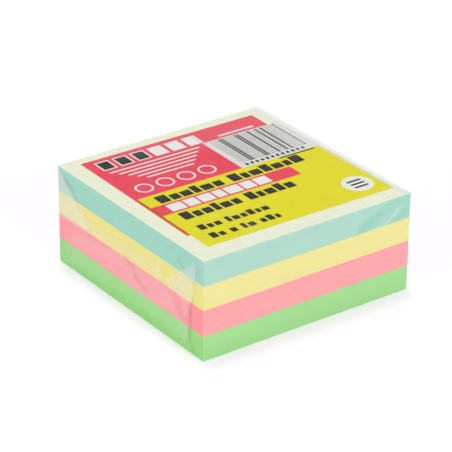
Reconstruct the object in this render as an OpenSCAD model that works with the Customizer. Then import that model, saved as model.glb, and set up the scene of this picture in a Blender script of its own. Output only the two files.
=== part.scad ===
// Memo cube: a glued block of coloured sheets with a printed label, overwrapped in clear film.
// Millimetres, Z up. The origin is the centre of the underside. X runs along the label's lines,
// the front is at -Y and the sheets are glued along the back, at +Y. The film is a tube along X,
// closed at both ends with the folds of a parcel.

/* [Sheets] */
// Width of a sheet, along the label's lines
sheet_w = 85; // [75:0.5:120]
// Depth of a sheet, from its front edge to its glued edge
sheet_d = 85; // [75:0.5:120]
// Thickness of one sheet
sheet_t = 0.098; // [0.07:0.001:0.15]
// Number of green sheets
green_sheets = 92; // [40:1:150]
// Number of pink sheets
pink_sheets = 97; // [40:1:150]
// Number of yellow sheets
yellow_sheets = 88; // [40:1:150]
// Number of turquoise sheets
turquoise_sheets = 93; // [40:1:150]
// Thickness of the cream cover sheet
cover_t = 0.12; // [0.07:0.01:0.5]
// Thickness of the dried padding glue on the back edge
glue_t = 0.3; // [0.1:0.05:1]

/* [Label] */
// Thickness of the label
label_t = 0.1; // [0.07:0.01:0.3]
// Depth of the printing in the label's surface
ink_t = 0.03; // [0.02:0.005:0.05]
// Margin of cover sheet left of the label
label_left = 6.2; // [3:0.1:12]
// Margin of cover sheet right of the label
label_right = 2; // [2:0.1:12]
// Margin of cover sheet in front of the label
label_front = 6.7; // [3:0.1:12]
// Margin of cover sheet behind the label
label_back = 4.3; // [3:0.1:12]
// Turn of the label on the cover sheet, in degrees
label_turn = -0.8; // [-1.5:0.1:1.5]
// Depth of the yellow field, from the label's front edge
yellow_d = 40.6; // [38:0.1:44]
// Step of the yellow field in from the label's left edge
yellow_step = 1.2; // [0.5:0.1:3]
// How far the red field stops short of the label's right edge
red_short = 5; // [1:0.1:12]
// How far the red field stops short of the label's front edge
red_rise = 10; // [2:0.5:20]
// Length of the red band across the yellow field
band_w = 56.6; // [45:0.1:64]
// Height of the red band
band_d = 7; // [6:0.1:9]
// Width of the white panel behind the bars
panel_w = 33; // [24:0.5:36]
// How far the white panel stops short of the label's back edge
panel_drop = 9.6; // [3:0.1:12]
// Diameter of the white disc
disc_d = 11.2; // [8:0.1:13]
// Width of a label that carries the printing at full size
art_w = 76.8; // [70:0.1:90]
// Depth of a label that carries the printing at full size
art_d = 74; // [68:0.1:90]

/* [Label marks] */
// Distance of the tile rows from the yellow field's left edge
text_inset = 4.9; // [3:0.1:7]
// Width of the widest tile in a title row
title_w = 4.3; // [3:0.1:4.6]
// Height of a low tile in a title row
title_h = 3.9; // [3:0.1:4.1]
// Width of the widest tile in the band
band_tile_w = 5.9; // [3:0.1:6.4]
// Height of the tiles in the band
band_tile_h = 5.1; // [3:0.1:5.6]
// Width of the widest tile in a small row
small_w = 2.6; // [1.2:0.1:2.8]
// Height of a low tile in a small row
small_h = 2.7; // [1.5:0.1:3]
// Height of a fine line
fine_h = 0.8; // [0.4:0.1:1.2]
// Distance from one fine line to the next
fine_pitch = 2.4; // [1.6:0.1:3]
// Width of an upright block in the head row
block_w = 5.6; // [4:0.1:6]
// Height of an upright block in the head row
block_h = 6.8; // [4:0.1:7.4]
// Diameter of the rings
ring_d = 6.6; // [4:0.1:6.8]
// Distance from one bar of the panel to the next
bar_pitch = 1.1; // [0.9:0.05:2]
// Room under the bars for a row of dots
bar_foot = 3.4; // [2.8:0.1:5]

/* [Film] */
// Thickness of the clear film
film_t = 0.04; // [0.02:0.005:0.1]
// Overlap of the bottom flap on the top flap at each end
end_lap = 7.6; // [3:0.1:16]
// Overlap of the film's long edges under the block
seam_lap = 10; // [4:0.5:25]
// Largest distance of the tuck's crease from the front edge
crease_in = 7.2; // [4:0.1:12]
// Width of a crease at its foot
crease_w = 1.3; // [0.6:0.1:2.5]
// Height of a crease above the film
crease_h = 0.45; // [0.25:0.05:0.8]

/* [Hidden] */
$fn = 64;

// The sheets and the glue share the film's inner depth
pack_d = sheet_d + glue_t;
front_y = -pack_d/2;
glue_y = front_y + sheet_d;

// Heights: two layers of film at the seam, then each pad on the one below
green_z = 2*film_t;
pink_z = green_z + green_sheets*sheet_t;
yellow_z = pink_z + pink_sheets*sheet_t;
turquoise_z = yellow_z + yellow_sheets*sheet_t;
cover_z = turquoise_z + turquoise_sheets*sheet_t;
label_z = cover_z + cover_t;
inner_top = label_z + label_t;

// The label, and how far its printing is reduced to fit it
label_w = sheet_w - label_left - label_right;
label_d = sheet_d - label_front - label_back;
art = min(label_w/art_w, label_d/art_d);

// The printing's own plane: u runs right from the label's left edge, v back from its front edge
full_u = label_w/art;
full_v = label_d/art;
text_u = yellow_step + text_inset;
panel_u = full_u - panel_w;
panel_v = full_v - panel_drop;
band_drop = 14.8;
band_v = yellow_d - band_drop;
tile_gap = 0.75;
word_ratio = 0.6;
tall_ratio = 1.35;
tile_widths = [1, 0.8, 0.92, 0.64];
title_rise = 0.9;
title_v = band_v + band_d + title_rise;
lower_title_drop = 6.4;
lower_title_v = band_v - lower_title_drop;
band_tile_v = band_v + (band_d - band_tile_h)/2;
small_v = [lower_title_v*6/11, lower_title_v/5];
small_title_ratio = 0.87;
note_w = 15;
note_right = 3;
note_drop = 1.2;
disc_edge = 2.4;
disc_v = 9.3;
disc_u = full_u - disc_edge - disc_d/2;
disc_bars = 3;
disc_bar_h = disc_d/11;
head_u = 3.8;
head_gap = 1.5;
head_rim = 0.6;
head_dark = 3;
heads = 6;
head_v = panel_v + 0.5;
ring_u = 4.5;
ring_wall = 0.7;
ring_gap = 1.9;
rings = floor((panel_u - ring_u)/(ring_d + ring_gap));
ring_rise = 2.7;
ring_v = yellow_d + ring_rise + ring_d/2;
fine_v = head_v - 2.8;
fine_step = 2.2;
fine_clear = 1.2;
fine_rows = floor((fine_v - fine_clear - ring_v - ring_d/2)/fine_pitch) + 1;
code_in = 8;
bar_margin = 2.6;
bar_head = 0.5;
thin_ratio = 0.22;
wide_ratio = 0.7;
bar_l = panel_v - yellow_d - bar_head - bar_foot;
bars = floor((panel_w - 2*bar_margin)/bar_pitch);
dot_w = 1.2;
dot_h = 1.6;
dot_pitch = 2.15;
dots = floor((panel_w - 2*bar_margin)/dot_pitch);

// The film's end faces, seen along X as (y, z)
end_y = pack_d/2 + film_t;
end_z0 = film_t;
end_z1 = inner_top + film_t;
end_h = end_z1 - end_z0;
fold = (end_h + end_lap)/2;
crease_steps = 6;
crease_lap = 0.125;
tuck_ratio = 0.4;
tuck_turn = 150;
// Pinched creases of a flap, as shares of the face from its front edge and from its top
pinches = [[[0.295, 0.345], [0.265, 0.48]], [[0.47, 0.585], [0.385, 0.665]]];

module pad(sheets, z) {
    translate([-sheet_w/2, front_y, z]) cube([sheet_w, sheet_d, sheets*sheet_t]);
}

module green_pad() {
    color("#a5db92") pad(green_sheets, green_z);
}

module pink_pad() {
    color("#fbabae") pad(pink_sheets, pink_z);
}

module yellow_pad() {
    color("#f3ec98") pad(yellow_sheets, yellow_z);
}

module turquoise_pad() {
    color("#b2e1d2") pad(turquoise_sheets, turquoise_z);
}

module cover_sheet() {
    color("#eaf0d5") translate([-sheet_w/2, front_y, cover_z]) cube([sheet_w, sheet_d, cover_t]);
}

// A skin of dried glue over the stack's back edge, from the lowest sheet to the cover
module glue_layer() {
    color("#e8e6dc") translate([-sheet_w/2, glue_y, green_z])
        cube([sheet_w, glue_t, label_z - green_z]);
}

// Puts a flat shape of the printing's plane on the cover sheet, from height low to height high
module on_cover(low, high) {
    translate([-sheet_w/2 + label_left + label_w/2, front_y + label_front + label_d/2, label_z + low])
        rotate(label_turn)
            translate([-label_w/2, -label_d/2, 0])
                linear_extrude(high - low)
                    scale([art, art])
                        children();
}

function tile_width(k, w) = w*tile_widths[k % len(tile_widths)];
function run(k, w) = k <= 0 ? 0 : run(k - 1, w) + tile_width(k - 1, w) + tile_gap;
function before(words, n) = n <= 0 ? 0 : before(words, n - 1) + words[n - 1];

// A row of plain tiles of unlike widths, in groups. Every third one is taller, by the factor tall.
module tile_row(u, v, words, w, h, tall) {
    for (n = [0:len(words) - 1])
        for (i = [0:words[n] - 1]) {
            k = before(words, n) + i;
            translate([u + run(k, w) + n*word_ratio*w, v])
                square([tile_width(k, w), h*(k % 3 == 0 ? tall : 1)]);
        }
}

module red_field() {
    translate([0, red_rise]) square([full_u - red_short, full_v - red_rise]);
}

module yellow_field() {
    translate([yellow_step, 0]) square([full_u - yellow_step, yellow_d]);
}

module panel_field() {
    translate([panel_u, yellow_d]) square([panel_w, panel_v - yellow_d]);
}

module band_field() {
    translate([yellow_step, band_v]) square([band_w, band_d]);
}

module disc_field() {
    translate([disc_u, disc_v]) circle(d = disc_d);
}

module label_outline() {
    red_field();
    yellow_field();
    panel_field();
}

// Upright blocks of the head row, from first to last, each made smaller all round by the rim
module head_row(first, last, rim) {
    for (i = [first:last])
        translate([head_u + i*(block_w + head_gap) + rim, head_v + rim])
            square([block_w - 2*rim, block_h - 2*rim]);
}

// Marks left white in the red printing
module white_marks() {
    head_row(0, heads - 1, 0);
    tile_row(text_u, band_tile_v, [7], band_tile_w, band_tile_h, 1);
    for (i = [0:rings - 1])
        translate([ring_u + ring_d/2 + i*(ring_d + ring_gap), ring_v]) difference() {
            circle(d = ring_d);
            circle(d = ring_d - 2*ring_wall);
        }
    for (i = [0:fine_rows - 1])
        translate([ring_u + fine_step*i, fine_v - i*fine_pitch])
            square([panel_u - 2*ring_u - 2*fine_step*i + ring_gap, fine_h]);
    translate([panel_u + code_in, head_v + fine_h]) square([note_w, 1.5*fine_h]);
}

// Everything printed dark: tiles, bars with their dots, the disc's mark and the dark blocks
module dark_marks() {
    tile_row(text_u, title_v, [6, 7], title_w, title_h, tall_ratio);
    tile_row(text_u, lower_title_v, [6, 5], title_w*small_title_ratio, title_h, tall_ratio);
    tile_row(text_u, small_v[0], [3, 6], small_w, small_h, tall_ratio);
    tile_row(text_u, small_v[1], [2, 1, 2, 3], small_w, small_h, tall_ratio);
    head_row(0, head_dark - 1, head_rim);
    translate([full_u - note_right - note_w, yellow_d - note_drop]) square([note_w, fine_h]);
    for (i = [0:bars - 1])
        translate([panel_u + bar_margin + i*bar_pitch, panel_v - bar_head - bar_l])
            square([bar_pitch*(i % 7 == 3 || i % 5 == 4 ? wide_ratio : thin_ratio), bar_l]);
    for (i = [0:dots - 1])
        translate([panel_u + bar_margin + i*dot_pitch, yellow_d + (bar_foot - dot_h)/2])
            square([dot_w, dot_h]);
    for (i = [0:disc_bars - 1])
        translate([disc_u - disc_d/4, disc_v + (i - (disc_bars - 1)/2)*disc_d/5 - disc_bar_h/2])
            square([disc_d/2, disc_bar_h]);
}

module red_shape() {
    difference() {
        union() {
            difference() {
                red_field();
                yellow_field();
                panel_field();
            }
            band_field();
        }
        white_marks();
        dark_marks();
    }
}

module yellow_shape() {
    difference() {
        yellow_field();
        band_field();
        disc_field();
        dark_marks();
    }
}

// The label is white where nothing is printed, and the printing is set flush into its surface
module label() {
    color("#f4f4f2") difference() {
        on_cover(0, label_t) label_outline();
        red_print();
        yellow_print();
        dark_print();
    }
}

module red_print() {
    color("#e8536b") on_cover(label_t - ink_t, label_t) red_shape();
}

module yellow_print() {
    color("#e1d92f") on_cover(label_t - ink_t, label_t) yellow_shape();
}

module dark_print() {
    color("#2b2a26") on_cover(label_t - ink_t, label_t) dark_marks();
}

// Flaps and gussets of a folded end. A gusset is the doubled corner that lies under its flap.
module flap(top) {
    z = top ? end_z1 : end_z0;
    tip = top ? end_z1 - fold : end_z0 + fold;
    polygon([[-end_y, z], [end_y, z], [end_y - fold, tip], [fold - end_y, tip]]);
}

module gussets(top) {
    z = top ? end_z1 : end_z0;
    tip = top ? end_z1 - fold : end_z0 + fold;
    for (s = [-1, 1])
        polygon([[s*end_y, z], [s*(end_y - fold), z], [s*(end_y - fold), tip]]);
}

// One more layer of film on the end face, the first lying on the paper
module end_layer(n) {
    translate([sheet_w/2 + (n - 1)*film_t, 0, 0])
        rotate([90, 0, 90])
            linear_extrude(film_t) children();
}

// A pinched crease between two points of the end face
module crease(a, b) {
    run = b - a;
    translate([sheet_w/2 + film_t/2, a[0], a[1]])
        rotate([atan2(run[1], run[0]), 0, 0])
            rotate([-90, 0, 0])
                translate([0, 0, -crease_lap*crease_w])
                    linear_extrude(norm(run) + 2*crease_lap*crease_w)
                        polygon([[0, -crease_w/2], [crease_h + film_t/2, 0], [0, crease_w/2]]);
}

function tuck_crease(t) =
    [crease_in*(tuck_ratio + (1 - tuck_ratio)*sin(tuck_turn*t)) - end_y, end_z1 - t*end_h];

function on_end(p) = [2*p[0]*end_y - end_y, end_z1 - p[1]*end_h];

module folded_end() {
    // side tucks and what covers the rest of the face
    end_layer(1) translate([-end_y, end_z0]) square([2*end_y, end_h]);
    end_layer(2) {
        gussets(true);
        gussets(false);
        intersection() {
            flap(true);
            flap(false);
        }
    }
    end_layer(3) {
        gussets(true);
        gussets(false);
    }
    end_layer(4) {
        intersection() {
            gussets(true);
            flap(false);
        }
        intersection() {
            gussets(false);
            flap(true);
        }
    }
    end_layer(5) intersection() {
        gussets(true);
        gussets(false);
    }
    // the front tuck stands off the paper behind its crease, and the top flap is pinched twice
    for (i = [1:crease_steps - 1])
        crease(tuck_crease((i - 0.6)/crease_steps), tuck_crease((i + 0.4)/crease_steps));
    for (pinch = pinches)
        crease(on_end(pinch[0]), on_end(pinch[1]));
}

module film_wrap() {
    color("#ffffff", 0.25) difference() {
        union() {
            translate([-sheet_w/2, -end_y, end_z0]) cube([sheet_w, 2*end_y, end_h]);
            translate([-sheet_w/2, -seam_lap/2, 0]) cube([sheet_w, seam_lap, 2*film_t]);
            folded_end();
            mirror([1, 0, 0]) folded_end();
        }
        translate([-sheet_w/2, -pack_d/2, green_z]) cube([sheet_w, pack_d, inner_top - green_z]);
    }
}

green_pad();
pink_pad();
yellow_pad();
turquoise_pad();
cover_sheet();
glue_layer();
label();
red_print();
yellow_print();
dark_print();
film_wrap();
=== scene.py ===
import math
import random

import bpy
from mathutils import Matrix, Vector, noise


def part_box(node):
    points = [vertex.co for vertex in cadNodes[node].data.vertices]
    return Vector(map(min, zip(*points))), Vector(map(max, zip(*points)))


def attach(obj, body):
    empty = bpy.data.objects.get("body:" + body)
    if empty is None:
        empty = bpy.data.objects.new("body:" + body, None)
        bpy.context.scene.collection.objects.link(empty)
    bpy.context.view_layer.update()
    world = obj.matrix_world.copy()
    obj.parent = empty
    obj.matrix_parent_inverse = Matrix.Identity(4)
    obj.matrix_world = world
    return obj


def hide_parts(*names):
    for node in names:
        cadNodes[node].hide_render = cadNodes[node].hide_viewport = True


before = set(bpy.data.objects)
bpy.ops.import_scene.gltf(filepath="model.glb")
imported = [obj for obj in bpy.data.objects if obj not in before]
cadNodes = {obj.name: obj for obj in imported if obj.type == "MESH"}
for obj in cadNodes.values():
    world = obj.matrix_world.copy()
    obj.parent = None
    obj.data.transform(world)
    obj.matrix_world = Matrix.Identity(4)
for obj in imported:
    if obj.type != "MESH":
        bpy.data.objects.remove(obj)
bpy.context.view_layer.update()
scene = bpy.context.scene
print("frame loaded,", len(cadNodes), "nodes")


def hexColour(code):
    # sRGB hex to linear
    parts = [int(code[i:i + 2], 16)/255 for i in (1, 3, 5)]
    return tuple(v/12.92 if v <= 0.04045 else ((v + 0.055)/1.055)**2.4 for v in parts) + (1.0,)


def addNode(tree, kind, settings=None, links=None):
    # a name that the node has as a property sets it; any other name, or a number, is an input
    node = tree.nodes.new(kind)
    for name, value in (settings or {}).items():
        if isinstance(name, str) and hasattr(node, name):
            setattr(node, name, value)
    for name, value in (settings or {}).items():
        if isinstance(name, int) or not hasattr(node, name):
            node.inputs[name].default_value = value
    for name, source in (links or {}).items():
        tree.links.new(source, node.inputs[name])
    return node


def startMaterial(name):
    material = bpy.data.materials.new(name)
    material.use_nodes = True
    material.node_tree.nodes.clear()
    return material, material.node_tree


def endMaterial(material, tree, surface, shade=None):
    addNode(tree, "ShaderNodeOutputMaterial", {}, {"Surface": surface})
    if shade:
        material.diffuse_color = hexColour(shade)
    return material


def makePiece(name, points, faces, material, marks=None, smooth=False):
    # points are in millimetres; marks are lists of one number a point, which the material reads
    mesh = bpy.data.meshes.new(name)
    mesh.from_pydata([(x/1000, y/1000, z/1000) for x, y, z in points], [], faces)
    mesh.update()
    for mark, values in (marks or {}).items():
        layer = mesh.attributes.new(mark, "FLOAT", "POINT")
        layer.data.foreach_set("value", values)
    mesh.materials.append(material)
    mesh.polygons.foreach_set("use_smooth", [smooth]*len(mesh.polygons))
    piece = bpy.data.objects.new(name, mesh)
    scene.collection.objects.link(piece)
    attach(piece, "root")
    return piece


def boxMm(node):
    # a node's two corners in millimetres
    low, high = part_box(node)
    return low*1000, high*1000


cameraSpec = {
    "place": (-429.7, -579.0, 387.9),   # mm, in the part's frame
    "azimuth": -36.42,                  # degrees, round from the front
    "elevation": 27.12,
    "roll": 0.60,
    "lens": 190.0,                      # mm
    "sensor": 36.0,                     # mm across
    "near": 0.01, "far": 50.0,          # m, between which the camera sees
}


def makeCamera():
    a = math.radians(cameraSpec["azimuth"])
    e = math.radians(cameraSpec["elevation"])
    r = math.radians(cameraSpec["roll"])
    back = Vector((math.sin(a)*math.cos(e), -math.cos(a)*math.cos(e), math.sin(e)))
    right = Vector((math.cos(a), math.sin(a), 0))
    up = back.cross(right)
    camX = right*math.cos(r) + up*math.sin(r)
    camY = up*math.cos(r) - right*math.sin(r)
    lens = bpy.data.cameras.new("camera")
    lens.lens = cameraSpec["lens"]
    lens.sensor_width = cameraSpec["sensor"]
    lens.clip_start = cameraSpec["near"]
    lens.clip_end = cameraSpec["far"]
    camera = bpy.data.objects.new("camera", lens)
    scene.collection.objects.link(camera)
    turn = camera.matrix_world.copy()
    for row in range(3):
        turn[row][0], turn[row][1], turn[row][2] = camX[row], camY[row], back[row]
        turn[row][3] = cameraSpec["place"][row]/1000
    camera.matrix_world = turn
    scene.camera = camera


makeCamera()


studioSpec = {
    "floorColour": "#f3edfa",
    "floorHalf": 6.0,        # m from the middle to its edges
    "floorLift": 0.215,      # added white that only the eye and reflections see
    "domeTop": 0.30,         # the room's light from above
    "domeRim": 1.31,         # and from its bright walls, level with the object
    "lamps": (               # name, place in m, W, size in m
        ("overheadLight", (0.12, 0.42, 2.3), 12.3, 0.6),   # high, behind: a short shadow in front
        ("keyLight", (0.1, -2.2, 0.9), 13.6, 0.9),         # low, before the front face
        ("sideLight", (-2.2, -0.2, 0.9), 10.0, 0.9),       # low, on the left
    ),
}


def isSeen(tree):
    # 1 for the eye and for reflections, 0 for light that falls on the object
    path = addNode(tree, "ShaderNodeLightPath")
    first = addNode(tree, "ShaderNodeMath", {"operation": "MAXIMUM"},
                    {0: path.outputs["Is Camera Ray"], 1: path.outputs["Is Glossy Ray"]})
    return addNode(tree, "ShaderNodeMath", {"operation": "MAXIMUM"},
                   {0: first.outputs[0], 1: path.outputs["Is Transmission Ray"]}).outputs[0]


def makeStudio():
    world = bpy.data.worlds.new("studio")
    scene.world = world
    world.use_nodes = True
    tree = world.node_tree
    tree.nodes.clear()
    around = addNode(tree, "ShaderNodeTexCoord").outputs["Generated"]
    height = addNode(tree, "ShaderNodeSeparateXYZ", {}, {0: around}).outputs["Z"]
    room = addNode(tree, "ShaderNodeMapRange",
                   {"To Min": studioSpec["domeRim"], "To Max": studioSpec["domeTop"]},
                   {"Value": height})
    dome = addNode(tree, "ShaderNodeBackground", {"Color": (1, 1, 1, 1)}, {"Strength": room.outputs[0]})
    addNode(tree, "ShaderNodeOutputWorld", {}, {"Surface": dome.outputs[0]})

    # matt white card: an even, pale ground
    floorCard, tree = startMaterial("matteWhiteCard")
    card = addNode(tree, "ShaderNodeBsdfDiffuse", {"Color": hexColour(studioSpec["floorColour"])})
    lift = addNode(tree, "ShaderNodeMath", {"operation": "MULTIPLY", 1: studioSpec["floorLift"]},
                   {0: isSeen(tree)})
    glow = addNode(tree, "ShaderNodeEmission", {"Color": (1, 1, 1, 1)}, {"Strength": lift.outputs[0]})
    both = addNode(tree, "ShaderNodeAddShader", {}, {0: card.outputs[0], 1: glow.outputs[0]})
    endMaterial(floorCard, tree, both.outputs[0])
    half = studioSpec["floorHalf"]
    corners = [(-half, -half, 0), (half, -half, 0), (half, half, 0), (-half, half, 0)]
    mesh = bpy.data.meshes.new("floor")
    mesh.from_pydata(corners, [], [(0, 1, 2, 3)])
    mesh.materials.append(floorCard)
    floor = bpy.data.objects.new("floor", mesh)
    scene.collection.objects.link(floor)

    for name, place, watts, size in studioSpec["lamps"]:
        lamp = bpy.data.lights.new(name, "AREA")
        lamp.energy = watts
        lamp.shape = "DISK"
        lamp.size = size
        light = bpy.data.objects.new(name, lamp)
        light.location = place
        light.rotation_euler = Vector(place).to_track_quat("Z", "Y").to_euler()
        scene.collection.objects.link(light)
    scene.view_settings.view_transform = "Standard"


makeStudio()
print("camera and studio made")


paperSpec = {
    "green_pad": {"piece": "greenSheets", "slot": "green_paper", "colour": "#9bde83"},
    "pink_pad": {"piece": "pinkSheets", "slot": "pink_paper", "colour": "#fd9b9d"},
    "yellow_pad": {"piece": "yellowSheets", "slot": "yellow_paper", "colour": "#ede68a"},
    "turquoise_pad": {"piece": "turquoiseSheets", "slot": "turquoise_paper", "colour": "#a1d8c2"},
    "cover_sheet": {"piece": "coverSheet", "slot": "cream_paper", "colour": "#eef1d8"},
}
sheetSpec = {
    "pitch": 0.098,        # mm from one sheet to the next
    "gap": 0.006,          # air between two sheets
    "inset": 0.085,        # cut edges lie this far inside the film
    "scatter": 0.018,      # a sheet's own slip
    "gluedSlip": 0.3,      # share of it that is left at the glued edge
    "drift": 0.02,         # slow lean of the whole stack
    "driftRate": 0.13,     # how fast the lean changes, for each mm up
    "driftSeed": 3.1,
    "knife": 0.006,        # marks of the guillotine's blade, much the same through the stack
    "knifeRate": 0.9,      # how fast they change, for each mm along an edge
    "knifeUp": 0.05,       # and for each mm up
    "edgeCells": 14,       # points along one edge of a sheet
    "toneSpread": 0.05,    # how far one sheet's edge is lighter or darker than the next
    "cloudSize": 4.0,      # mm across a cloud in the paper
    "fibreSize": 1.1,      # mm across a clump of fibres, drawn coarser than real ones so that it shows
    "fibreFlat": 9.0,      # how much flatter than wide it is
}


def makePaper(name, colour):
    # uncoated pulp paper, guillotined: dry, matt, with soft fibre clouds and each edge its own tone
    paper, tree = startMaterial(name)
    place = addNode(tree, "ShaderNodeTexCoord").outputs["Object"]
    tone = addNode(tree, "ShaderNodeAttribute", {"attribute_name": "tone"})
    cloud = addNode(tree, "ShaderNodeTexNoise", {"Scale": 1000/sheetSpec["cloudSize"], "Detail": 3.0},
                    {"Vector": place})
    squash = addNode(tree, "ShaderNodeMapping", {"Scale": (1.0, 1.0, sheetSpec["fibreFlat"])},
                     {"Vector": place})
    fibre = addNode(tree, "ShaderNodeTexNoise", {"Scale": 1000/sheetSpec["fibreSize"], "Detail": 2.0},
                    {"Vector": squash.outputs[0]})
    both = addNode(tree, "ShaderNodeMath", {"operation": "MULTIPLY_ADD", 1: 0.5},
                   {0: fibre.outputs[0], 2: cloud.outputs[0]})
    shade = addNode(tree, "ShaderNodeMapRange",
                    {"From Min": 0.45, "From Max": 1.05, "To Min": 0.975, "To Max": 1.025},
                    {"Value": both.outputs[0]})
    stripe = addNode(tree, "ShaderNodeMapRange",
                     {"To Min": 1 - sheetSpec["toneSpread"], "To Max": 1.0},
                     {"Value": tone.outputs["Fac"]})
    level = addNode(tree, "ShaderNodeMath", {"operation": "MULTIPLY"},
                    {0: shade.outputs[0], 1: stripe.outputs[0]})
    tint = addNode(tree, "ShaderNodeMix", {"data_type": "RGBA", "blend_type": "MULTIPLY", "Factor": 1.0,
                                           6: hexColour(colour)})
    tree.links.new(level.outputs[0], tint.inputs[7])
    bump = addNode(tree, "ShaderNodeBump", {"Strength": 0.25, "Distance": 0.00002},
                   {"Height": fibre.outputs[0]})
    skin = addNode(tree, "ShaderNodeBsdfPrincipled",
                   {"Roughness": 0.88, "IOR": 1.5, "Specular IOR Level": 0.15},
                   {"Base Color": tint.outputs[2], "Normal": bump.outputs[0]})
    return endMaterial(paper, tree, skin.outputs[0], colour)


def makeSheets(node):
    spec = paperSpec[node]
    low, high = boxMm(node)
    count = max(1, round((high.z - low.z)/sheetSpec["pitch"]))
    pitch = (high.z - low.z)/count
    cells, inset = sheetSpec["edgeCells"], sheetSpec["inset"]
    rate, up = sheetSpec["knifeRate"], sheetSpec["knifeUp"]
    dice = random.Random("sheets " + node)
    points, faces, tones = [], [], []
    for n in range(count):
        z0 = low.z + n*pitch + sheetSpec["gap"]/2
        z1 = z0 + pitch - sheetSpec["gap"]
        lean = Vector((sheetSpec["driftRate"]*z0, sheetSpec["driftSeed"], 0))
        slow = sheetSpec["drift"]*noise.noise(lean)
        slip = [dice.uniform(0, sheetSpec["scatter"]) for _ in range(4)]
        x0, y0 = low.x + inset + slip[0] + slow, low.y + inset + slip[1] + slow
        x1, y1 = high.x - inset - slip[2] + slow, high.y - slip[3]*sheetSpec["gluedSlip"]
        ring = [(x0 + (x1 - x0)*i/cells, y0) for i in range(cells)]
        ring += [(x1, y0 + (y1 - y0)*i/cells) for i in range(cells)]
        ring += [(x1 - (x1 - x0)*i/cells, y1) for i in range(cells)]
        ring += [(x0, y1 - (y1 - y0)*i/cells) for i in range(cells)]
        first, size, tone = len(points), len(ring), dice.random()
        for z in (z0, z1):
            for i, (x, y) in enumerate(ring):
                mark = sheetSpec["knife"]*noise.noise(Vector((rate*x, rate*y, up*z0)))
                cut = 0 if i % cells == 0 else mark
                points.append((x + (cut if x in (x0, x1) else 0), y + (cut if y in (y0, y1) else 0), z))
                tones.append(tone)
        faces.append(tuple(range(first + size - 1, first - 1, -1)))
        faces.append(tuple(range(first + size, first + 2*size)))
        for i in range(size):
            j = (i + 1) % size
            faces.append((first + i, first + j, first + size + j, first + size + i))
    paper = makePaper("pastelNotePaper_" + spec["slot"], spec["colour"])
    piece = makePiece(spec["piece"], points, faces, paper, {"tone": tones})
    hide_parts(node)


for padNode in paperSpec:
    makeSheets(padNode)
print("sheets made")


glueSpec = {
    "colour": "#ece9df",
    "dipColour": "#dedacb",        # between the ridges of the brush
    "thin": 0.06, "thick": 0.22,   # mm over the sheets' back edges
    "soak": 0.05,                  # mm that it reaches in between them
    "sideInset": 0.1,              # mm inside the solid's two sides
    "topInset": 0.02,              # and inside its top and bottom
    "cellsX": 110, "cellsZ": 46,
    "brushRun": 14.0,              # mm along a brush stroke
    "brushAcross": 1.5,            # mm across it
}


def makeGlue():
    # dried white dispersion glue, brushed on: milky, half shiny, ridged along the brush's way
    glue, tree = startMaterial("driedPaddingGlue")
    place = addNode(tree, "ShaderNodeTexCoord").outputs["Object"]
    run = addNode(tree, "ShaderNodeMapping",
                  {"Scale": (1/glueSpec["brushRun"], 1.0, 1/glueSpec["brushAcross"])}, {"Vector": place})
    ridge = addNode(tree, "ShaderNodeTexNoise", {"Scale": 1000.0, "Detail": 3.0},
                    {"Vector": run.outputs[0]})
    tint = addNode(tree, "ShaderNodeMix",
                   {"data_type": "RGBA", 6: hexColour(glueSpec["dipColour"]),
                    7: hexColour(glueSpec["colour"])}, {"Factor": ridge.outputs[0]})
    bump = addNode(tree, "ShaderNodeBump", {"Strength": 0.5, "Distance": 0.0001},
                   {"Height": ridge.outputs[0]})
    skin = addNode(tree, "ShaderNodeBsdfPrincipled",
                   {"Roughness": 0.38, "IOR": 1.47, "Subsurface Weight": 0.1, "Subsurface Scale": 0.001},
                   {"Base Color": tint.outputs[2], "Normal": bump.outputs[0]})
    endMaterial(glue, tree, skin.outputs[0], glueSpec["colour"])
    low, high = boxMm("glue_layer")
    nx, nz = glueSpec["cellsX"], glueSpec["cellsZ"]
    sideInset, topInset = glueSpec["sideInset"], glueSpec["topInset"]
    points, faces = [], []
    for k in range(nz + 1):
        for i in range(nx + 1):
            x = low.x + sideInset + (high.x - low.x - 2*sideInset)*i/nx
            z = low.z + topInset + (high.z - low.z - 2*topInset)*k/nz
            brushed = Vector((x/glueSpec["brushRun"], 0, z/glueSpec["brushAcross"]))
            wave = 0.5 + 0.5*noise.fractal(brushed, 1.0, 2.0, 3)
            edge = min(1.0, min(i, nx - i)/2, min(k, nz - k)/2)
            thick = glueSpec["thin"] + (glueSpec["thick"] - glueSpec["thin"])*max(0, min(1, wave))*edge
            points.append((x, low.y + thick, z))
    back = len(points)
    points += [(x, low.y - glueSpec["soak"], z) for x, y, z in points]
    step = nx + 1
    for k in range(nz):
        for i in range(nx):
            a = k*step + i
            faces.append((a, a + step, a + step + 1, a + 1))
            faces.append((back + a, back + a + 1, back + a + step + 1, back + a + step))
    rim = [i for i in range(nx)] + [nx + k*step for k in range(nz)]
    rim += [nz*step + nx - i for i in range(nx)] + [(nz - k)*step for k in range(nz)]
    for n, a in enumerate(rim):
        b = rim[(n + 1) % len(rim)]
        faces.append((a, b, back + b, back + a))
    piece = makePiece("paddingGlue", points, faces, glue, smooth=True)
    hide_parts("glue_layer")


makeGlue()
print("glue made")


labelSpec = {
    "label": {"material": "whiteLabelStock", "colour": "#e7e7e3", "mottle": 0.01, "roughness": 0.5},
    "red_print": {"material": "redOffsetInk", "colour": "#e93f57", "mottle": 0.05, "roughness": 0.42},
    "yellow_print": {"material": "yellowOffsetInk", "colour": "#e1d900", "mottle": 0.03, "roughness": 0.42},
    "dark_print": {"material": "blackOffsetInk", "colour": "#1d1a17", "mottle": 0.05, "roughness": 0.36},
}
inkSpec = {
    "mottleSize": 1.6,       # mm across a patch of the mottle
    "gloss": 0.05,           # low, because the film over it has the shine
    "relief": 0.00002,       # m
}
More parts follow.
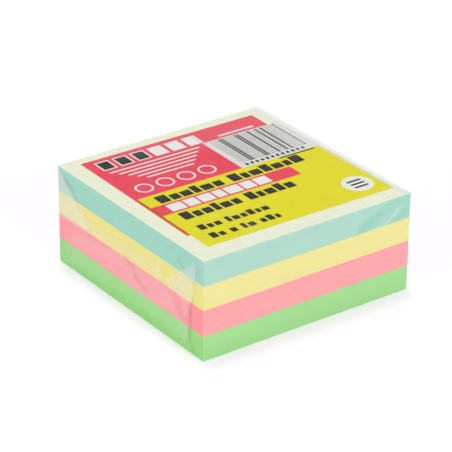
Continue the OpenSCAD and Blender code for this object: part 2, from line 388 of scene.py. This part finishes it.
# where a colour of the label changes, mm: red over yellow along its left edge, and the greyer bar panel
secondTone = {
    "red_print": {"colour": "#cf4a10", "X": ("LESS_THAN", -34.72), "Y": ("LESS_THAN", 3.6)},
    "label": {"colour": "#dadbd8", "X": ("GREATER_THAN", 7.4), "Y": ("GREATER_THAN", 2.6)},
}


def makeInk(node):
    # offset ink on label stock: a thin, even film of colour, satin,
    # with faint mottle where the paper drinks it
    spec = labelSpec[node]
    ink, tree = startMaterial(spec["material"])
    place = addNode(tree, "ShaderNodeTexCoord").outputs["Object"]
    mottle = addNode(tree, "ShaderNodeTexNoise", {"Scale": 1000/inkSpec["mottleSize"], "Detail": 4.0},
                     {"Vector": place})
    level = addNode(tree, "ShaderNodeMapRange", {"From Min": 0.3, "From Max": 0.7,
                                                 "To Min": 1 - spec["mottle"], "To Max": 1.0},
                    {"Value": mottle.outputs[0]})
    second = secondTone.get(node)
    other = second["colour"] if second else spec["colour"]
    colour = addNode(tree, "ShaderNodeMix", {"data_type": "RGBA", "Factor": 0.0,
                                             6: hexColour(spec["colour"]), 7: hexColour(other)})
    if second:
        split = addNode(tree, "ShaderNodeSeparateXYZ", {}, {0: place})
        sides = []
        for axis in ("X", "Y"):
            compare, limit = second[axis]
            side = addNode(tree, "ShaderNodeMath", {"operation": compare, 1: limit/1000},
                           {0: split.outputs[axis]})
            sides.append(side.outputs[0])
        inside = addNode(tree, "ShaderNodeMath", {"operation": "MULTIPLY"}, {0: sides[0], 1: sides[1]})
        tree.links.new(inside.outputs[0], colour.inputs["Factor"])
    tint = addNode(tree, "ShaderNodeMix", {"data_type": "RGBA", "blend_type": "MULTIPLY", "Factor": 1.0},
                   {6: colour.outputs[2], 7: level.outputs[0]})
    bump = addNode(tree, "ShaderNodeBump", {"Strength": 0.05, "Distance": inkSpec["relief"]},
                   {"Height": mottle.outputs[0]})
    skin = addNode(tree, "ShaderNodeBsdfPrincipled",
                   {"Roughness": spec["roughness"], "IOR": 1.5, "Specular IOR Level": inkSpec["gloss"]},
                   {"Base Color": tint.outputs[2], "Normal": bump.outputs[0]})
    endMaterial(ink, tree, skin.outputs[0], spec["colour"])
    mesh = cadNodes[node].data
    mesh.materials.clear()
    mesh.materials.append(ink)


for printNode in labelSpec:
    makeInk(printNode)
print("label printed")


filmSpec = {
    "wall": 42.625,          # mm from the middle to the film's front and back walls
    "end": 42.53,            # mm from the middle to the film where it lies on an end
    "most": 42.97,           # the film stands no further out than this
    "top": 36.578, "sag": 0.075,     # over the label, and how far lower it lies off it
    "bottom": 0.06,
    "round": 0.28,           # radius of its bends round the block's edges
    "bendSteps": 4,          # and the mesh's steps along one of them
    "cells": (56, 26, 30, 64),       # of the mesh, round the top, back, bottom and front
    "columns": 140,          # and along it
    "ripple": (0.01, 0.02, 0.012),   # mm, slack of the top, back and front
    "rippleAlong": 0.06,     # how fast it changes, for each mm along
    "rippleRound": 3.0,      # and from one edge of a side to the other
    "rippleSeed": 7.3,       # so that no two sides are alike
    "foldMilk": 0.04,        # milkiness of the bends and the underside
    "backMilk": 0.06, "backSlackMilk": 0.08,
    "frontStart": 42.65,     # mm left of the middle, where the places on the front wall start
}
# the ends' flaps and tucks, in mm
flapSpec = {
    "deep": 22.0,
    "layer": 0.022,          # from one layer to the next
    "tuckShort": 1.0,        # how much less deep the tucks' hidden edges are
    "tuckUnder": 6.0,        # how far a tuck reaches under the flaps
    "tuckTip": 0.2,          # half its least height
    "tuckCells": (36, 52), "flapCells": (38, 132),
    "lift": 0.02,            # everywhere over the paper
    "slack": 0.03, "slackRate": 0.16,        # waves, and how fast they change for each mm
    "slackSeed": 4.4,        # so that the two ends are not alike
    "settle": 1.5,           # width over which the film comes down to an end's edges
    "curl": 0.02, "curlFrom": 0.8,   # of the bottom flap's edge, and the share of its depth where it starts
    "handOver": (16.0, 20.0),        # mm down, between which the marks pass from top to bottom flap
    "creaseLift": 0.6,       # share of a crease's height that stands
}
# the top: the step at the label's edge, and the white rim along the right edge, a painted highlight where
# the film rounds over to the end
topSpec = {
    "labelTurn": 0.8,        # degrees
    "labelSlack": 0.5,       # mm that the box round the turned label is larger on each side
    "stepOut": 0.9, "stepIn": 0.1,   # mm outside and inside the label's edge, where it steps
    "stepMilk": 0.04, "stepWide": 0.5,
    # the rim's painted highlight, as milkiness
    "rimPaintedHighlight": 0.75,
    "rimFrom": 38.4, "rimTo": 41.3,  # mm right of the middle, where it starts and is at its whitest
    "rimLean": 0.012,        # mm that it starts further left for each mm back
}
# the lap of the film's long edges, underneath
seamSpec = {
    "width": 10.0,
    "rows": 8, "columns": 60,
    "height": 0.045,         # mm over the ground at its long edges
    "dip": 0.03,             # and how much lower it lies between them
    "dipWide": 1.6,          # mm from an edge to the full dip
    "slack": 0.004, "slackRate": 0.2,
    "milk": 0.12,
}

# places on an end are (s, h): s mm from the back edge, h mm down from the top edge
# where the end's tucks stand off the paper: (outline, height in mm, softness of its edge, milkiness)
endTucks = [
    ([(-3, -2), (11.4, 9.0), (15.4, 12.0), (20.2, 16.8), (18.8, 18.2), (-3, 18.2)], 0.06, 1.5, 0.33),
    ([(84.6, 0.2), (72.0, 9.3), (64.0, 16.6), (65.0, 18.0), (79.3, 18.0), (79.8, 14.0), (80.6, 9.5),
      (82.0, 2.6)], 0.13, 0.8, 0.27),
]
# and where its flaps do
endRaised = [
    ([(16.0, 13.4), (36.0, 13.4), (58.0, 11.4), (61.0, 17.0), (18.0, 18.0)], 0.05, 2.6, 0.15),
    ([(5.0, 27.0), (12.0, 20.4), (40.0, 17.0), (66.5, 17.4), (72.0, 26.6), (52.0, 27.6)],
     0.05, 1.8, 0.18),
    ([(72.6, 17.6), (77.2, 17.6), (77.0, 24.6), (74.4, 23.0)], 0.1, 1.1, 0.2),
    ([(-3, 17.8), (13.0, 18.0), (5.0, 27.2), (-3, 27.2)], 0.02, 0.8, 0.07),
    ([(4.0, 27.0), (40.0, 26.8), (76.8, 27.2), (76.8, 33.4), (58.0, 32.6), (40.0, 31.4), (20.0, 34.0),
      (5.0, 33.6)], 0.05, 1.5, 0.1),
    ([(62.0, 17.6), (77.4, 17.6), (77.4, 27.2), (66.0, 27.2)], 0.05, 0.9, 0.11),
]
# creases on an end: (from, to, height, half width, milkiness, darkness); the milkiness is a painted
# highlight along a crease and the darkness a painted shade
endCreases = [
    ((82.2, 2.0), (80.4, 9.6), 0.08, 0.4, 0.04, 0.1),
    ((80.4, 9.6), (79.4, 16.6), 0.1, 0.4, 0.04, 0.25),
    ((79.4, 16.6), (78.2, 20.0), 0.1, 0.5, 0.0, 0.45),
    ((78.2, 20.0), (78.0, 27.0), 0.12, 0.7, 0.0, 0.45),
    ((78.0, 27.0), (77.8, 32.0), 0.12, 0.9, 0.0, 0.35),
    ((77.8, 32.0), (80.4, 35.2), 0.1, 0.7, 0.0, 0.3),
    # this pair paints a highlight along a crease
    ((59.2, 12.9), (60.8, 15.0), 0.04, 0.42, 0.42, 0.0),
    ((60.8, 15.0), (62.0, 17.2), 0.03, 0.45, 0.2, 0.0),
    ((40.6, 17.9), (46.4, 19.8), 0.1, 0.8, 0.0, 0.4),
    ((46.4, 22.2), (52.6, 24.6), 0.14, 0.85, 0.0, 0.6),
    ((35.8, 24.4), (40.2, 22.6), 0.12, 0.45, 0.0, 0.4),
    ((18.4, 25.8), (22.4, 24.6), 0.1, 0.5, 0.0, 0.25),
    ((5.4, 20.6), (8.8, 19.2), 0.08, 0.5, 0.0, 0.15),
    ((14.0, 17.9), (19.4, 18.9), 0.08, 0.6, 0.0, 0.25),
    ((71.2, 5.6), (74.6, 7.4), 0.1, 0.6, 0.0, 0.42),
    ((5.2, 3.4), (9.2, 5.5), 0.05, 1.05, 0.0, 0.4),
    ((9.4, 5.9), (12.6, 8.6), 0.04, 0.8, 0.0, 0.15),
    ((5.0, 24.6), (14.0, 18.6), 0.04, 1.1, 0.05, 0.0),
    ((71.0, 23.0), (76.0, 26.6), 0.1, 1.3, 0.0, 0.22),
    ((74.8, 24.6), (76.2, 30.6), 0.06, 0.9, 0.1, 0.0),
    ((64.0, 19.4), (72.0, 27.0), 0.04, 0.8, 0.05, 0.0),
]
# the front wall: places are (mm from its left end, mm down from the top edge)
frontRaised = [
    ([(-2, -2), (77, -2), (76, 0.4), (70, 3.1), (65.4, 4.8), (62.8, 5.2), (62.0, 9.7), (-2, 9.7)],
     0.0, 0.9, 0.15),
    ([(-2, 18.0), (87, 18.0), (87, 27.4), (-2, 27.4)], 0.0, 0.8, 0.13),
    ([(-2, 9.4), (87, 9.8), (87, 38), (-2, 38)], 0.0, 1.0, 0.09),
    ([(72.4, 9.6), (75.8, 9.6), (82.2, 3.8), (81.0, 3.0)], 0.01, 0.8, 0.29),
    ([(69.4, 9.6), (74.0, 9.6), (81.0, 3.6), (76.6, 4.6)], 0.0, 0.9, 0.07),
    ([(86.0, 6.6), (86.0, 9.6), (80.6, 9.6), (83.8, 7.4)], 0.0, 0.9, 0.12),
]
# the front wall's creases, in the same columns: painted highlight as milkiness, painted shade as darkness
frontCreases = [
    ((73.8, 8.6), (81.6, 3.2), 0.0, 0.7, 0.04, 0.0),
    ((70.4, 9.0), (73.8, 6.3), 0.01, 0.7, 0.07, 0.0),
    ((64.0, 8.2), (72.4, 4.6), 0.03, 1.5, 0.0, 0.13),
    ((78.0, 8.6), (83.4, 6.2), 0.02, 1.2, 0.0, 0.1),
]
# haze on the top: places are (mm right, mm back) of the middle
topHazy = [
    ([(-30, 37), (-8, 28), (8, 24), (46, 14), (46, 46), (-46, 46)], 0.0, 4.0, 0.045),
    ([(31, 7), (46, 6), (46, 29), (35, 27)], 0.0, 2.5, 0.27),
]


def smoothStep(low, high, value):
    t = max(0.0, min(1.0, (value - low)/(high - low)))
    return t*t*(3 - 2*t)


def lineReach(p, a, b):
    # distance from p to the line from a to b
    dx, dy = b[0] - a[0], b[1] - a[1]
    t = max(0.0, min(1.0, ((p[0] - a[0])*dx + (p[1] - a[1])*dy)/(dx*dx + dy*dy)))
    return math.hypot(p[0] - a[0] - t*dx, p[1] - a[1] - t*dy)


def depthInside(p, outline):
    # distance to the outline, positive inside it
    inside, nearest = False, 1e9
    for n, a in enumerate(outline):
        b = outline[(n + 1) % len(outline)]
        nearest = min(nearest, lineReach(p, a, b))
        if (a[1] > p[1]) != (b[1] > p[1]) and p[0] < a[0] + (b[0] - a[0])*(p[1] - a[1])/(b[1] - a[1]):
            inside = not inside
    return nearest if inside else -nearest


def standOff(p, raised, creases):
    # height in mm, milkiness and darkness of the film at one place; a crease adds a painted highlight to
    # the milkiness and its painted shade to the darkness
    height, milk, dark = 0.0, 0.0, 0.0
    for outline, lift, soft, haze in raised:
        share = smoothStep(-soft, soft, depthInside(p, outline))
        height = max(height, lift*share)
        milk = max(milk, haze*share)
    for a, b, lift, wide, haze, shade in creases:
        share = math.exp(-(lineReach(p, a, b)/wide)**2)
        height += lift*share*flapSpec["creaseLift"]
        milk += haze*share
        dark = max(dark, shade*share)
    return height, milk, dark


def gridFaces(first, rows, columns, flip=False):
    faces = []
    for r in range(rows):
        for c in range(columns):
            a = first + r*(columns + 1) + c
            quad = (a, a + 1, a + columns + 2, a + columns + 1)
            faces.append(tuple(reversed(quad)) if flip else quad)
    return faces


labelLow, labelHigh = boxMm("label")


def labelReach(x, y):
    # mm inside the label's edge, in the label's own turn
    low, high = labelLow, labelHigh
    turn, slack = math.radians(topSpec["labelTurn"]), topSpec["labelSlack"]
    cx, cy = (low.x + high.x)/2, (low.y + high.y)/2
    u = (x - cx)*math.cos(turn) - (y - cy)*math.sin(turn)
    v = (x - cx)*math.sin(turn) + (y - cy)*math.cos(turn)
    return min((high.x - low.x)/2 - slack - abs(u), (high.y - low.y)/2 - slack - abs(v))


def wallPoint(side, x, t):
    # one place of the film's tube: t runs 0 to 1 along that side; gives y, z, milkiness and darkness
    # (painted crease shade)
    wall, top, bottom, bend = filmSpec["wall"], filmSpec["top"], filmSpec["bottom"], filmSpec["round"]
    topSlack, backSlack, frontSlack = filmSpec["ripple"]
    spot = Vector((filmSpec["rippleAlong"]*x, filmSpec["rippleRound"]*t, filmSpec["rippleSeed"]*side))
    ripple = noise.noise(spot)
    if side == 0:      # top, from front to back
        y = -(wall - bend) + 2*(wall - bend)*t
        reach = labelReach(x, y)
        on = smoothStep(-topSpec["stepOut"], topSpec["stepIn"], reach)
        step = topSpec["stepMilk"]*math.exp(-(reach/topSpec["stepWide"])**2)
        # the right rim is a painted highlight of the film where it turns down to the end
        rim = smoothStep(topSpec["rimFrom"], topSpec["rimTo"], x + topSpec["rimLean"]*y)
        milk = max(step + topSpec["rimPaintedHighlight"]*rim, standOff((x, y), topHazy, [])[1])
        return y, top - filmSpec["sag"]*(1 - on) + topSlack*ripple, milk, 0.0
    if side == 2:      # bottom, from back to front
        return (wall - bend) - 2*(wall - bend)*t, bottom, filmSpec["foldMilk"], 0.0
    down = t if side == 1 else 1 - t
    z = top - bend - (top - bottom - 2*bend)*down
    if side == 1:      # back
        milk = filmSpec["backMilk"] + filmSpec["backSlackMilk"]*max(0, ripple)
        return wall + backSlack*ripple, z, milk, 0.0
    place = (x + filmSpec["frontStart"], top - z)
    height, milk, dark = standOff(place, frontRaised, frontCreases)
    return -(wall + height + frontSlack*ripple), z, milk, dark


def makeTube(points, faces, marks):
    # the tube along X, with its bends and the rolled lips that lead into the ends
    bend, wall, steps = filmSpec["round"], filmSpec["wall"], filmSpec["bendSteps"]
    cells, columns = filmSpec["cells"], filmSpec["columns"]
    reach = filmSpec["end"] - bend
    arc = [math.pi/2*k/steps for k in range(steps + 1)]
    rings = [(-reach - bend*math.sin(a), bend*(1 - math.cos(a))) for a in reversed(arc[1:])]
    rings += [(-reach + 2*reach*i/columns, 0.0) for i in range(columns + 1)]
    rings += [(reach + bend*math.sin(a), bend*(1 - math.cos(a))) for a in arc[1:]]
    first = len(points)
    middle = (filmSpec["top"] + filmSpec["bottom"])/2
    half = (filmSpec["top"] - filmSpec["bottom"])/2
    for x, inset in rings:
        ring = []
        for side in range(4):
            for i in range(cells[side] + 1):
                ring.append(wallPoint(side, max(-reach, min(reach, x)), i/cells[side]))
            signY, signZ = ((1, 1), (1, -1), (-1, -1), (-1, 1))[side]
            for a in arc[1:-1]:
                out, level = (math.sin(a), math.cos(a)) if side in (0, 2) else (math.cos(a), math.sin(a))
                y = signY*(wall - bend + bend*out)
                z = middle + signZ*(half - bend + bend*level)
                ring.append((y, z, filmSpec["foldMilk"], 0.0))
        for y, z, milk, dark in ring:
            shrinkY, shrinkZ = 1 - inset/wall, 1 - inset/half
            points.append((x, y*shrinkY, middle + (z - middle)*shrinkZ))
            marks["milk"].append(milk)
            marks["dark"].append(dark)
    count = len(ring)
    for r in range(len(rings) - 1):
        for i in range(count):
            j = (i + 1) % count
            a, b = first + r*count, first + (r + 1)*count
            faces.append((a + i, b + i, b + j, a + j))


def makeEnd(side, points, faces, marks):
    # tucks, top flap and bottom flap of one end, each a sheet of its own grid
    bend, deep = filmSpec["round"], flapSpec["deep"]
    wide, tall = 2*filmSpec["wall"], filmSpec["top"] - filmSpec["bottom"]

    def patch(cells, layer, place, curl, ownShare):
        # ownShare is a layer's share of the milk and the creases, so that layers do not add up
        rows, columns = cells
        first = len(points)
        for r in range(rows + 1):
            for c in range(columns + 1):
                s, h = place(r/rows, c/columns)
                s = min(max(s, bend), wide - bend)
                h = min(max(h, bend), tall - bend)
                where = (s, h) if side < 0 else (wide - s, h)
                loose, tuckMilk = standOff(where, endTucks, [])[:2]
                height, milk, dark = standOff(where, endRaised, endCreases)
                share, rate = ownShare(s, h), flapSpec["slackRate"]
                rough = noise.noise(Vector((rate*s, rate*h, flapSpec["slackSeed"]*side)))
                edge = min(1.0, (min(s, wide - s, h, tall - h) - bend)/flapSpec["settle"])
                height = (max(height, loose) + flapSpec["slack"]*rough + flapSpec["lift"])*edge
                height += curl*smoothStep(flapSpec["curlFrom"], 1.0, r/rows)
                x = filmSpec["end"] + layer*flapSpec["layer"]*edge + max(0, height)
                points.append((side*min(x, filmSpec["most"]), filmSpec["wall"] - s, filmSpec["top"] - h))
                marks["milk"].append(milk*share + (tuckMilk if layer == 0 else 0))
                marks["dark"].append(dark*share)
        faces.extend(gridFaces(first, rows, columns, side > 0))

    def tuck(front):
        def place(r, c):
            s = (deep - flapSpec["tuckShort"])*r
            start = min(max(0.0, s - flapSpec["tuckUnder"]), tall/2 - flapSpec["tuckTip"])
            return (wide - s if front else s), start + (tall - 2*start)*c
        return place

    def flap(fromTop):
        def place(r, c):
            h = deep*r
            return h + (wide - 2*h)*c, (h if fromTop else tall - h)
        return place

    def besideFlaps(s, h):
        # 0 where a flap lies over the tuck
        return 1 - smoothStep(-0.5, 0.5, min(s, wide - s) - min(h, tall - h))

    def lowerShare(s, h):
        return smoothStep(*flapSpec["handOver"], h)

    patch(flapSpec["tuckCells"], 0, tuck(False), 0.0, besideFlaps)
    patch(flapSpec["tuckCells"], 0, tuck(True), 0.0, besideFlaps)
    patch(flapSpec["flapCells"], 1, flap(True), 0.0, lambda s, h: 1 - lowerShare(s, h))
    patch(flapSpec["flapCells"], 2, flap(False), flapSpec["curl"], lowerShare)


def makeSeam(points, faces, marks):
    first, rows, columns = len(points), seamSpec["rows"], seamSpec["columns"]
    half, reach = seamSpec["width"]/2, filmSpec["end"] - filmSpec["round"]
    for r in range(rows + 1):
        for c in range(columns + 1):
            x, y = -reach + 2*reach*c/columns, -half + 2*half*r/rows
            between = smoothStep(0, seamSpec["dipWide"], half - abs(y))
            slack = seamSpec["slack"]*noise.noise(Vector((seamSpec["slackRate"]*x, y, 0)))
            points.append((x, y, seamSpec["height"] - seamSpec["dip"]*between + slack))
            marks["milk"].append(seamSpec["milk"])
            marks["dark"].append(0.0)
    faces.extend(gridFaces(first, rows, columns, True))


filmLook = {
    "milky": "#fcfbfb",      # where it stands off the paper
    "pinched": "#e3d6d6",    # painted shade: what the film lets through along a crease
    "plain": "#fbfcfc",      # in a viewport
    "streakSize": 6.0,       # mm along the streaks that drawing leaves in it
    "streakThin": 5.0,       # how much narrower they are
    "streakTurn": (0.5, 0.4, 0.6),   # the way they run, in radians
    "streakPaintedSheen": (0.003, 0.06),     # least and most milkiness that they add, a painted sheen along the film's crinkles
    "relief": 0.00012,       # m, of the streaks
    "shine": 0.008,          # share of mirror, seen square on
    "edgeShine": 0.2,        # and what is added where it is seen edge on
    "edgePower": 5.0,        # how near to edge on that starts
    "gloss": 0.07,           # roughness of its shine
    "milkyRoughness": 0.3,
    "ior": 1.49,
}


def makeFilmMaterial():
    # biaxially drawn polypropylene, heat sealed: clear and glossy, milky where it stands off the paper;
    # painted highlights where the milk runs along creases and the top's right rim, and painted shade that
    # darkens it along creases
    film, tree = startMaterial("clearOverwrapFilm")
    place = addNode(tree, "ShaderNodeTexCoord").outputs["Object"]
    milk = addNode(tree, "ShaderNodeAttribute", {"attribute_name": "milk"})
    turned = addNode(tree, "ShaderNodeMapping",
                     {"Rotation": filmLook["streakTurn"], "Scale": (1.0, 1.0, filmLook["streakThin"])},
                     {"Vector": place})
    streak = addNode(tree, "ShaderNodeTexNoise", {"Scale": 1000/filmLook["streakSize"], "Detail": 3.0},
                     {"Vector": turned.outputs[0]})
    bump = addNode(tree, "ShaderNodeBump", {"Strength": 0.3, "Distance": filmLook["relief"]},
                   {"Height": streak.outputs[0]})
    least, most = filmLook["streakPaintedSheen"]
    # the streaks' relief is bump; the milkiness along them is a painted sheen
    streaky = addNode(tree, "ShaderNodeMapRange",
                      {"From Min": 0.56, "From Max": 0.8, "To Min": least, "To Max": most},
                      {"Value": streak.outputs[0]})
    # the milk mark, which carries the painted highlights of creases and rim, with the streaks' painted
    # sheen on top
    haze = addNode(tree, "ShaderNodeMath", {"operation": "ADD"},
                   {0: milk.outputs["Fac"], 1: streaky.outputs[0]})
    tilt = addNode(tree, "ShaderNodeLayerWeight", {"Blend": 0.5}, {"Normal": bump.outputs[0]})
    edgeOn = addNode(tree, "ShaderNodeMath", {"operation": "POWER", 1: filmLook["edgePower"]},
                     {0: tilt.outputs["Facing"]})
    shine = addNode(tree, "ShaderNodeMath",
                    {"operation": "MULTIPLY_ADD", 1: filmLook["edgeShine"], 2: filmLook["shine"]},
                    {0: edgeOn.outputs[0]})
    # the dark mark darkens what passes through: painted shade along the creases
    pinch = addNode(tree, "ShaderNodeAttribute", {"attribute_name": "dark"})
    tint = addNode(tree, "ShaderNodeMix",
                   {"data_type": "RGBA", 6: (1, 1, 1, 1), 7: hexColour(filmLook["pinched"])},
                   {"Factor": pinch.outputs["Fac"]})
    clear = addNode(tree, "ShaderNodeBsdfTransparent", {}, {"Color": tint.outputs[2]})
    gloss = addNode(tree, "ShaderNodeBsdfGlossy",
                    {"Color": (1, 1, 1, 1), "Roughness": filmLook["gloss"]}, {"Normal": bump.outputs[0]})
    through = addNode(tree, "ShaderNodeMixShader", {},
                      {0: shine.outputs[0], 1: clear.outputs[0], 2: gloss.outputs[0]})
    milky = addNode(tree, "ShaderNodeBsdfPrincipled",
                    {"Base Color": hexColour(filmLook["milky"]), "Roughness": filmLook["milkyRoughness"],
                     "IOR": filmLook["ior"]}, {"Normal": bump.outputs[0]})
    whole = addNode(tree, "ShaderNodeMixShader", {},
                    {0: haze.outputs[0], 1: through.outputs[0], 2: milky.outputs[0]})
    return endMaterial(film, tree, whole.outputs[0], filmLook["plain"])


def makeFilm():
    film = makeFilmMaterial()
    points, faces, marks = [], [], {"milk": [], "dark": []}
    makeTube(points, faces, marks)
    makeEnd(-1, points, faces, marks)
    makeEnd(1, points, faces, marks)
    makeSeam(points, faces, marks)
    piece = makePiece("filmOverwrap", points, faces, film, marks, smooth=True)
    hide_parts("film_wrap")


makeFilm()
print("film wrapped")
